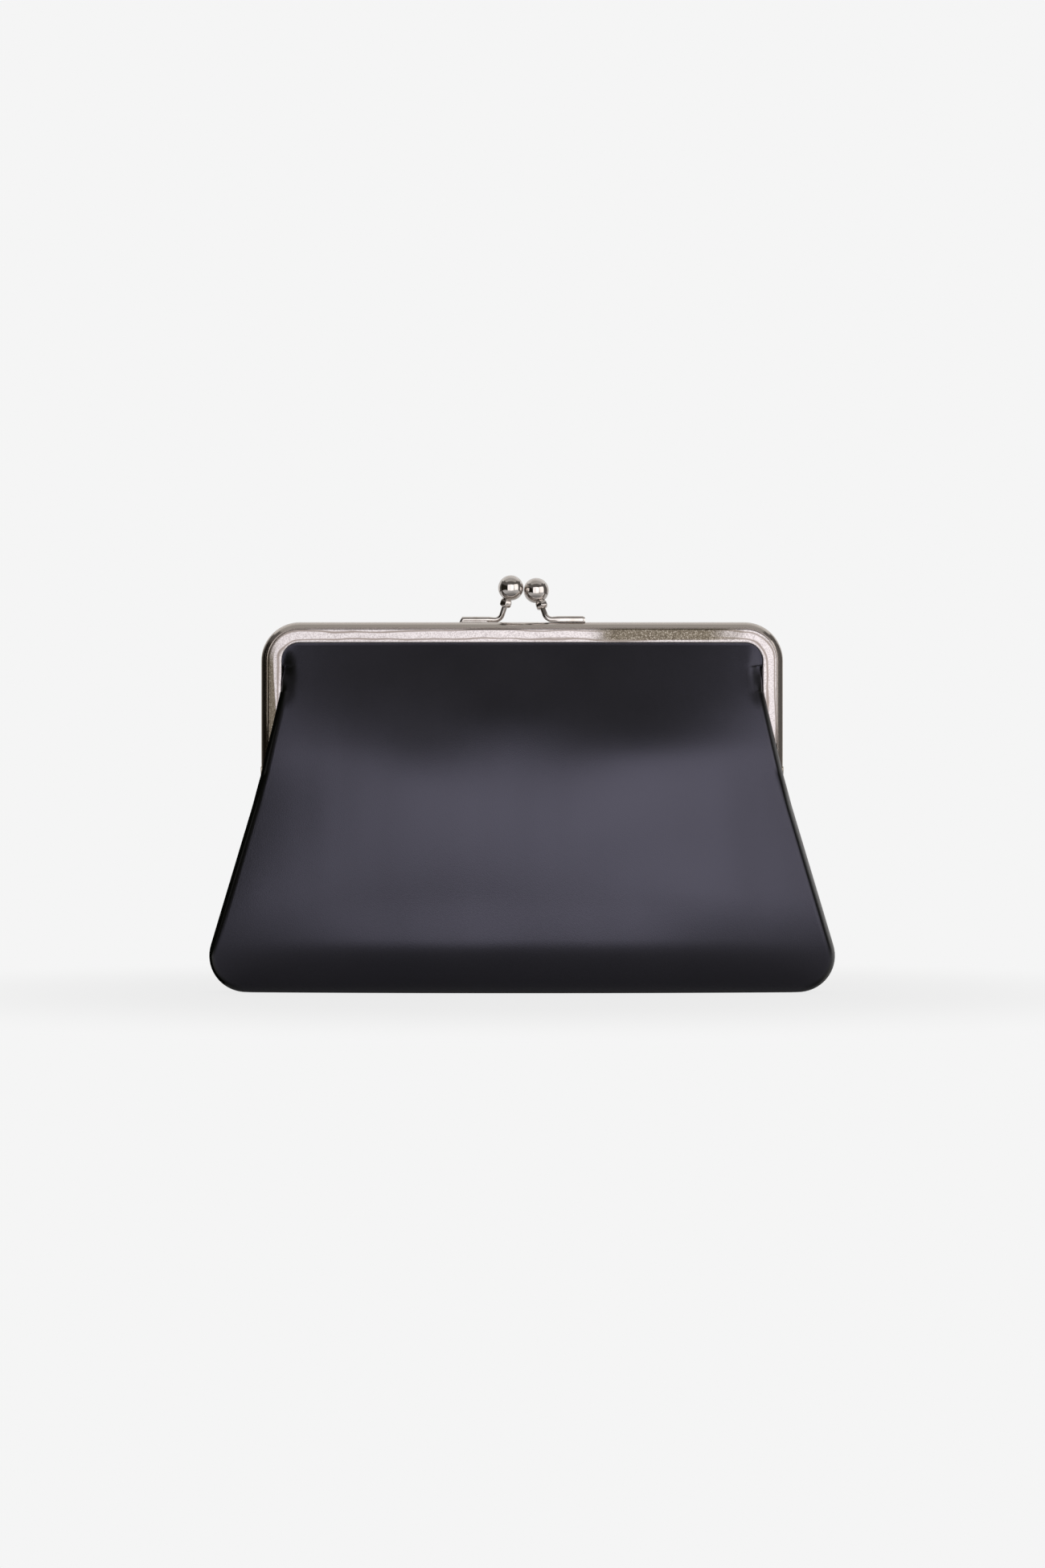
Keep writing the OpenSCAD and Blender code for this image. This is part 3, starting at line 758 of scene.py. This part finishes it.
def rolled_channel(name):
    bpy.ops.object.select_all(action="DESELECT")
    s0, d0 = section[0]
    bpy.ops.mesh.primitive_plane_add(size=mm, location=((-frame_w / 2 + s0) * mm, -d0 * mm, arm_z * mm))
    piece = bpy.context.object
    piece.name = name
    bpy.ops.object.transform_apply(location=True, rotation=True, scale=True)
    bpy.ops.object.mode_set(mode="EDIT")
    bpy.ops.mesh.select_mode(type="VERT")
    bpy.ops.mesh.merge(type="CENTER")
    for (s, d), (s_next, d_next) in zip(section, section[1:]):
        extrude(s_next - s, d - d_next, 0)
    bpy.ops.mesh.select_all(action="SELECT")
    for step in range(arm_steps):
        extrude(0, 0, (corner_z - arm_z) / arm_steps)
    spin_corner(-corner_x, math.radians(-90))
    for step in range(top_steps):
        extrude(2 * corner_x / top_steps, 0, 0)
    spin_corner(corner_x, math.radians(-90))
    for step in range(arm_steps):
        extrude(0, 0, -(corner_z - arm_z) / arm_steps)
    bpy.ops.mesh.select_all(action="SELECT")
    bpy.ops.mesh.remove_doubles(threshold=0.002 * mm)
    bpy.ops.mesh.normals_make_consistent(inside=False)
    crown = max(piece_faces(piece), key=lambda f: f.calc_center_median().z)
    if crown.normal.z < 0:
        bpy.ops.mesh.flip_normals()
    bpy.ops.object.mode_set(mode="OBJECT")
    return piece


def piece_faces(piece):
    edit = bmesh.from_edit_mesh(piece.data)
    edit.faces.ensure_lookup_table()
    edit.normal_update()
    return edit.faces


def path_place(x, z):
    """Distance in from the outer edge, and distance along the outer edge from the left arm's end, in mm."""
    quarter_turn = frame_r * math.pi / 2
    if z <= corner_z:
        left = x < 0
        inward = frame_w / 2 - abs(x)
        along = z - arm_z
        return inward, along if left else 2 * (corner_z - arm_z) + 2 * quarter_turn + 2 * corner_x - along
    if abs(x) <= corner_x:
        return frame_top - z, corner_z - arm_z + quarter_turn + corner_x + x
    radius = math.hypot(abs(x) - corner_x, z - corner_z)
    turn = frame_r * math.atan2(z - corner_z, abs(x) - corner_x)
    if x < 0:
        return frame_r - radius, corner_z - arm_z + turn
    return frame_r - radius, corner_z - arm_z + 2 * quarter_turn + 2 * corner_x - turn


def convex_drop(inward):
    return most_convex * clamp(1 - inward / channel_w) ** 1.6


def shape_face(piece):
    """Lowers the front of the arms towards their outer edge, and lays out the pattern along the strip."""
    mesh = piece.data
    place_of = {}
    for v in mesh.vertices:
        x, y, z = v.co / mm
        inward, along = path_place(x, z)
        place_of[v.index] = (along * mm, (inward if y < -5 else y) * mm)
        v.co.y += convexity(x, z) * convex_drop(inward) * ramp(-y, 3.2, 5.6) * mm
    uv = (mesh.uv_layers.active or mesh.uv_layers.new(name="UVMap")).data
    for loop in mesh.loops:
        uv[loop.index].uv = place_of[loop.vertex_index]


def ear_outline(angle, top):
    """Distance from the hinge's axis to the ear's outline, in the direction angle from +Y towards +Z."""
    neck = [(-wall_out, top), (-mid_gap, top), (-mid_gap, ear_neck)]
    corners = neck + [ear_touch_back, ear_touch_front, (-wall_out, ear_neck)]
    reach = ear_r
    c, s = math.cos(angle), math.sin(angle)
    for (x0, y0), (x1, y1) in zip(corners, corners[1:] + corners[:1]):
        across = c * (y1 - y0) - s * (x1 - x0)
        if abs(across) < 1e-9:
            continue
        t = (x0 * (y1 - y0) - y0 * (x1 - x0)) / across
        u = (x0 * s - y0 * c) / across
        if t > 0 and 0 <= u <= 1:
            reach = max(reach, t)
    return reach


def hinge_ear(name, x, top, points=72):
    """The flattened end of an arm, drilled for the hinge rivet. x is its inner face."""
    bpy.ops.object.select_all(action="DESELECT")
    bpy.ops.mesh.primitive_circle_add(vertices=points, radius=ear_r * mm, rotation=(0, math.radians(90), 0),
                                      location=(x * mm, 0, hinge_z * mm))
    ear = bpy.context.object
    ear.name = name
    bpy.ops.object.transform_apply(location=True, rotation=True, scale=True)
    for v in ear.data.vertices:
        angle = math.atan2(v.co.z - hinge_z * mm, v.co.y)
        reach = ear_outline(angle, top - hinge_z)
        v.co.y = reach * math.cos(angle) * mm
        v.co.z = hinge_z * mm + reach * math.sin(angle) * mm
    bpy.ops.object.mode_set(mode="EDIT")
    bpy.ops.mesh.select_all(action="DESELECT")
    bpy.ops.mesh.primitive_circle_add(vertices=points, radius=rivet_hole * mm,
                                      rotation=(0, math.radians(90), 0),
                                      location=(x * mm, 0, hinge_z * mm))
    bpy.ops.mesh.select_all(action="SELECT")
    bpy.ops.mesh.bridge_edge_loops()
    bpy.ops.mesh.select_all(action="SELECT")
    extrude(math.copysign(ear_t, x), 0, 0)
    bpy.ops.mesh.select_all(action="SELECT")
    bpy.ops.mesh.normals_make_consistent(inside=False)
    bpy.ops.object.mode_set(mode="OBJECT")
    bevel = ear.modifiers.new("edge", "BEVEL")
    bevel.width = 0.12 * mm
    bevel.segments = 2
    bevel.limit_method = "ANGLE"
    bevel.angle_limit = math.radians(50)
    bpy.ops.object.modifier_apply(modifier=bevel.name)
    return ear


def turn_to_rear(piece):
    """The rear half is the front half's mirror image."""
    bpy.ops.object.select_all(action="DESELECT")
    piece.select_set(True)
    bpy.context.view_layer.objects.active = piece
    piece.scale.y = -1
    bpy.ops.object.transform_apply(location=True, rotation=True, scale=True)


half_x = frame_w / 2
ear_x = {"front": half_x - ear_t, "rear": half_x - 2 * ear_t - 0.2}
ear_top = {"front": arm_z + 2, "rear": arm_z + 7}
for half in ("front", "rear"):
    channel = rolled_channel(f"{half}_frame_channel")
    shape_face(channel)
    solidify = channel.modifiers.new("sheet", "SOLIDIFY")
    solidify.thickness = sheet_t * mm
    solidify.offset = -1
    bpy.ops.object.modifier_apply(modifier=solidify.name)
    ears = [hinge_ear("ear", mirror * ear_x[half], ear_top[half]) for mirror in (-1, 1)]
    bpy.ops.object.select_all(action="DESELECT")
    for ear in ears:
        ear.select_set(True)
    channel.select_set(True)
    bpy.context.view_layer.objects.active = channel
    bpy.ops.object.join()
    if half == "rear":
        turn_to_rear(channel)
        bpy.ops.object.mode_set(mode="EDIT")
        bpy.ops.mesh.select_all(action="SELECT")
        bpy.ops.mesh.flip_normals()
        bpy.ops.object.mode_set(mode="OBJECT")
    bpy.ops.object.shade_smooth_by_angle(angle=math.radians(40))
    channel.data.materials.clear()
    channel.data.materials.append(frosted_nickel)
    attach(channel, f"{half}_half")
    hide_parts(f"{half}_frame")


# Paper cords. Two strands of brown paper twisted together, pushed into each channel behind
# the lining with a flat tool, so that they wedge the leather's edge against the sheet metal.
cord_r = 1.0
cord_inset = 2.2
cord_y = 2.35
cord_twist = 5.2
material, nodes, links = new_material("twisted_paper")
output = nodes.new("ShaderNodeOutputMaterial")
shader = nodes.new("ShaderNodeBsdfPrincipled")
shader.inputs["Roughness"].default_value = 0.8
links.new(shader.outputs[0], output.inputs["Surface"])
place = nodes.new("ShaderNodeTexCoord")
fibre = nodes.new("ShaderNodeTexNoise")
fibre.inputs["Scale"].default_value = 900
links.new(place.outputs["Object"], fibre.inputs["Vector"])
tone = two_tone(fibre.outputs["Fac"], (0.33, 0.22, 0.11), (0.52, 0.38, 0.21))
links.new(tone, shader.inputs["Base Color"])


def channel_path(inset, start_z, step):
    """Points along the channel at a distance in from its outer edge, with the direction towards that edge."""
    r = frame_r - inset
    rise = [start_z + i * (corner_z - start_z) / 8 for i in range(8)]
    left = [(-corner_x - r, z, (-1, 0)) for z in rise]
    for i in range(12):
        out = (-math.cos(math.radians(90 * i / 12)), math.sin(math.radians(90 * i / 12)))
        left.append((-corner_x + r * out[0], corner_z + r * out[1], out))
    count = round(2 * corner_x / step)
    top = [(-corner_x + 2 * corner_x * i / count, corner_z + r, (0, 1)) for i in range(count + 1)]
    return left + top + [(-x, z, (-n[0], n[1])) for x, z, n in reversed(left)]


def twisted_cord(name, side):
    route = channel_path(cord_inset, held_z, 1.5)
    around = 18
    bpy.ops.object.select_all(action="DESELECT")
    bpy.ops.mesh.primitive_cylinder_add(vertices=around, radius=1, depth=len(route) - 1, end_fill_type="NGON")
    piece = bpy.context.object
    piece.name = name
    bpy.ops.object.mode_set(mode="EDIT")
    edit = bmesh.from_edit_mesh(piece.data)
    for k in range(1, len(route) - 1):
        level = k - (len(route) - 1) / 2
        bmesh.ops.bisect_plane(edit, geom=edit.verts[:] + edit.edges[:] + edit.faces[:],
                               plane_co=(0, 0, level), plane_no=(0, 0, 1))
    for v in edit.verts:
        k = round(v.co.z + (len(route) - 1) / 2)
        x, z, out = route[k]
        a = math.atan2(v.co.y, v.co.x)
        strand = cord_r * (0.80 + 0.20 * abs(math.cos(a - 2 * math.pi * k * 1.5 / cord_twist)))
        across, deep = strand * math.cos(a), strand * math.sin(a)
        v.co = ((x + out[0] * across) * mm, (side * cord_y + deep) * mm, (z + out[1] * across) * mm)
    bmesh.update_edit_mesh(piece.data)
    bpy.ops.mesh.select_all(action="SELECT")
    bpy.ops.mesh.normals_make_consistent(inside=False)
    bpy.ops.object.mode_set(mode="OBJECT")
    bpy.ops.object.shade_smooth_by_angle(angle=math.radians(60))
    return piece


for half, side in (("front", -1), ("rear", 1)):
    cord = twisted_cord(f"{half}_paper_twist", side)
    cord.data.materials.append(material)
    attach(cord, f"{half}_half")
    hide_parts(f"{half}_paper_cord")


# Hinges. A plated steel rivet at each side passes through the front ear, the rear ear and a
# washer, and its tail is hammered flat inside. The turned solids are right and only get their finish.
material, nodes, links = new_material("plated_steel")
output = nodes.new("ShaderNodeOutputMaterial")
shader = nodes.new("ShaderNodeBsdfPrincipled")
shader.inputs["Metallic"].default_value = 1
links.new(shader.outputs[0], output.inputs["Surface"])
place = nodes.new("ShaderNodeTexCoord")
from_axis = nodes.new("ShaderNodeMapping")
from_axis.inputs["Location"].default_value = (0, 0, -hinge_z * mm)
turned = nodes.new("ShaderNodeTexWave")
turned.wave_type = "RINGS"
turned.rings_direction = "X"
turned.inputs["Scale"].default_value = 1400
turned.inputs["Distortion"].default_value = 1.5
rough = nodes.new("ShaderNodeMapRange")
rough.inputs["To Min"].default_value = 0.24
rough.inputs["To Max"].default_value = 0.34
links.new(place.outputs["Object"], from_axis.inputs["Vector"])
links.new(from_axis.outputs[0], turned.inputs["Vector"])
tone = two_tone(turned.outputs["Fac"], (0.46, 0.44, 0.42), (0.60, 0.575, 0.555))
links.new(turned.outputs["Fac"], rough.inputs["Value"])
links.new(tone, shader.inputs["Base Color"])
links.new(rough.outputs[0], shader.inputs["Roughness"])
for name in ("hinge_rivets", "hinge_washers"):
    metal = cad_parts[name]
    metal.data.materials.clear()
    metal.data.materials.append(material)


# Clasp wires. One length of nickel plated wire on each half: its foot is soldered along the
# crown, then it bends up and leans past the middle, so that the ball on it crosses the other's.
wire_r = 1.05
foot_r = 1.22
clasp_y = 3
bend_r = 3
bend_up = 1.05
foot_end = 24.3
ball_past = 1
ball_r = 4.85
wire_short = 2.2
solder_h = 0.35
solder_spread = 0.22
ball_neck = 5.1
clasp_of = {
    "front": {"ball": (5.4, 154.1), "foot": 12.7, "cut": 0.15},
    "rear": {"ball": (4.35, 155.0), "foot": 13.7, "cut": 0.9},
}

material, nodes, links = new_material("polished_nickel")
output = nodes.new("ShaderNodeOutputMaterial")
shader = nodes.new("ShaderNodeBsdfPrincipled")
shader.inputs["Metallic"].default_value = 1
links.new(shader.outputs[0], output.inputs["Surface"])
place = nodes.new("ShaderNodeTexCoord")
haze = nodes.new("ShaderNodeTexNoise")
haze.inputs["Scale"].default_value = 330
haze.inputs["Detail"].default_value = 4
rough = nodes.new("ShaderNodeMapRange")
rough.inputs["To Min"].default_value = 0.05
rough.inputs["To Max"].default_value = 0.13
bump = nodes.new("ShaderNodeBump")
bump.inputs["Strength"].default_value = 0.05
bump.inputs["Distance"].default_value = 0.2 * mm
links.new(place.outputs["Object"], haze.inputs["Vector"])
tone = two_tone(haze.outputs["Fac"], (0.60, 0.555, 0.52), (0.70, 0.66, 0.64), 0.32, 0.62)
links.new(haze.outputs["Fac"], rough.inputs["Value"])
links.new(haze.outputs["Fac"], bump.inputs["Height"])
links.new(tone, shader.inputs["Base Color"])
links.new(rough.outputs[0], shader.inputs["Roughness"])
links.new(bump.outputs[0], shader.inputs["Normal"])
polished_nickel = material


def clasp_plan(half):
    """Where the wire bends and how far it turns, for a clasp drawn on the front half."""
    ball_x, ball_z = clasp_of[half]["ball"]
    lean = math.atan((clasp_y + ball_past) / (ball_z - frame_top - bend_up))
    up = (ball_z - frame_top - bend_up) / math.cos(lean)
    bend_x = foot_end - clasp_of[half]["foot"]
    dx = bend_x - ball_x
    turn = math.asin(bend_r / math.hypot(dx, up - bend_r)) + math.atan2(up - bend_r, dx)
    straight = math.hypot(dx - bend_r * math.sin(turn), up - bend_r * (1 - math.cos(turn)))
    upward = Vector((0, math.sin(lean), math.cos(lean)))
    root = Vector((bend_x, -clasp_y, frame_top + bend_up))
    along = Vector((-math.cos(turn), 0, 0)) + upward * math.sin(turn)
    ball = root + Vector((-dx, 0, 0)) + upward * up
    return root, upward, turn, straight, along, ball


def finish_clasp_piece(piece, half, angle=40):
    """The rear half's clasp is the same, turned half round."""
    bpy.ops.object.select_all(action="DESELECT")
    piece.select_set(True)
    bpy.context.view_layer.objects.active = piece
    bpy.ops.object.transform_apply(location=True, rotation=True, scale=True)
    if half == "rear":
        piece.rotation_euler.z = math.pi
        bpy.ops.object.transform_apply(location=True, rotation=True, scale=True)
    bpy.ops.object.shade_smooth_by_angle(angle=math.radians(angle))
    piece.data.materials.clear()
    piece.data.materials.append(polished_nickel)


def clasp_wire(name, half):
    """The foot is a little thicker than the bare wire, spreads into its solder and has a rounded end."""
    root, upward, turn, straight, along, ball = clasp_plan(half)
    end_x = foot_end - 0.1
    bpy.ops.object.select_all(action="DESELECT")
    bpy.ops.mesh.primitive_circle_add(vertices=28, radius=wire_r * mm, fill_type="NGON",
                                      rotation=(0, math.radians(-90), 0),
                                      location=(end_x * mm, -clasp_y * mm, (frame_top + bend_up) * mm))
    piece = bpy.context.object
    piece.name = name
    bpy.ops.object.transform_apply(location=True, rotation=True, scale=True)
    bpy.ops.object.mode_set(mode="EDIT")
    bpy.ops.mesh.select_all(action="SELECT")
    for step in range(12):
        extrude((root.x - end_x) / 12, 0, 0)
    centre = root + upward * bend_r
    bpy.ops.mesh.spin(steps=16, angle=turn, center=centre * mm, axis=Vector((1, 0, 0)).cross(upward))
    for step in range(6):
        extrude(*(along * (straight - wire_short) / 6))
    bpy.ops.mesh.select_all(action="SELECT")
    bpy.ops.mesh.remove_doubles(threshold=0.002 * mm)
    bpy.ops.mesh.normals_make_consistent(inside=False)
    bpy.ops.object.mode_set(mode="OBJECT")
    for v in piece.data.vertices:
        x, y, z = v.co / mm
        on_foot = ramp(x, root.x, root.x + 2.5)
        if on_foot > 0:
            swell = 1 + (foot_r / wire_r - 1) * on_foot
            height = (z - frame_top - bend_up) * swell
            flank = (y + clasp_y) * swell
            floor_z = frame_top + 0.02
            z_new = frame_top + bend_up + height + 0.06 * on_foot
            if z_new < floor_z + solder_h:
                flank *= 1 + solder_spread * on_foot
            z_new = max(z_new, floor_z)
            rounding = ramp(x, end_x - 1.3, end_x)
            slant = clasp_of[half]["cut"] * rounding * clamp((z_new - frame_top) / 2.3)
            v.co = ((x - slant) * mm, (-clasp_y + flank * (1 - 0.35 * rounding ** 2)) * mm,
                    (frame_top + (z_new - frame_top) * (1 - 0.16 * rounding ** 2)) * mm)
    return piece


for half in ("front", "rear"):
    root, upward, turn, straight, along, ball = clasp_plan(half)
    wire = clasp_wire(f"{half}_clasp_wire", half)
    finish_clasp_piece(wire, half)
    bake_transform(wire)
    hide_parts(f"{half}_clasp_foot", f"{half}_clasp_stem")


# Clasp collars. A small pressed cup with six flattened sides that closes the joint between
# wire and ball.
collar_r = 2.45
collar_t = 1.5
collar_down = 6.45
for half in ("front", "rear"):
    root, upward, turn, straight, along, ball = clasp_plan(half)
    bpy.ops.object.select_all(action="DESELECT")
    bpy.ops.mesh.primitive_cylinder_add(vertices=6, radius=collar_r * mm, depth=collar_t * mm,
                                        location=(0, 0, -collar_down * mm), end_fill_type="NGON")
    cup = bpy.context.object
    cup.name = f"{half}_clasp_cup"
    bpy.ops.object.transform_apply(location=True, rotation=True, scale=True)
    bpy.ops.object.mode_set(mode="EDIT")
    bpy.ops.mesh.select_mode(type="FACE")
    edit = bmesh.from_edit_mesh(cup.data)
    for up_way, length, shrink in ((1, 0.95, 0.80), (-1, 0.62, 0.66)):
        for face in edit.faces:
            face.select = face.normal.z * up_way > 0.9
        edit.select_flush_mode()
        bmesh.update_edit_mesh(cup.data)
        extrude(0, 0, up_way * length)
        bpy.ops.transform.resize(value=(shrink, shrink, 1))
        edit = bmesh.from_edit_mesh(cup.data)
    bpy.ops.object.mode_set(mode="OBJECT")
    bevel = cup.modifiers.new("edge", "BEVEL")
    bevel.width = 0.22 * mm
    bevel.segments = 3
    bpy.ops.object.modifier_apply(modifier=bevel.name)
    spin = Vector((0, 0, 1)).rotation_difference(along).to_matrix().to_4x4()
    spin.translation = ball * mm
    cup.matrix_world = spin
    finish_clasp_piece(cup, half, 30)
    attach(cup, f"{half}_clasp")
    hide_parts(f"{half}_clasp_collar")


# Clasp balls. Turned brass balls, nickel plated and polished, each drilled from below for its
# wire. The drilled side is drawn out into a short neck that sits in the cup.
for half in ("front", "rear"):
    root, upward, turn, straight, along, ball = clasp_plan(half)
    bpy.ops.object.select_all(action="DESELECT")
    bpy.ops.mesh.primitive_uv_sphere_add(segments=64, ring_count=48, radius=ball_r * mm, location=(0, 0, 0))
    knob = bpy.context.object
    knob.name = f"{half}_clasp_knob"
    bpy.ops.object.mode_set(mode="EDIT")
    bpy.ops.mesh.select_mode(type="FACE")
    bpy.ops.mesh.select_all(action="DESELECT")
    edit = bmesh.from_edit_mesh(knob.data)
    for face in edit.faces:
        face.select = face.calc_center_median().z < -ball_r * 0.955 * mm
    edit.select_flush_mode()
    bmesh.update_edit_mesh(knob.data)
    extrude(0, 0, -0.55)
    bpy.ops.object.mode_set(mode="OBJECT")
    for v in knob.data.vertices:
        v.co.z = max(v.co.z, -ball_neck * mm)
    spin = Vector((0, 0, 1)).rotation_difference(along).to_matrix().to_4x4()
    spin.translation = ball * mm
    knob.matrix_world = spin
    finish_clasp_piece(knob, half)
    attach(knob, f"{half}_clasp")
    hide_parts(f"{half}_clasp_ball")
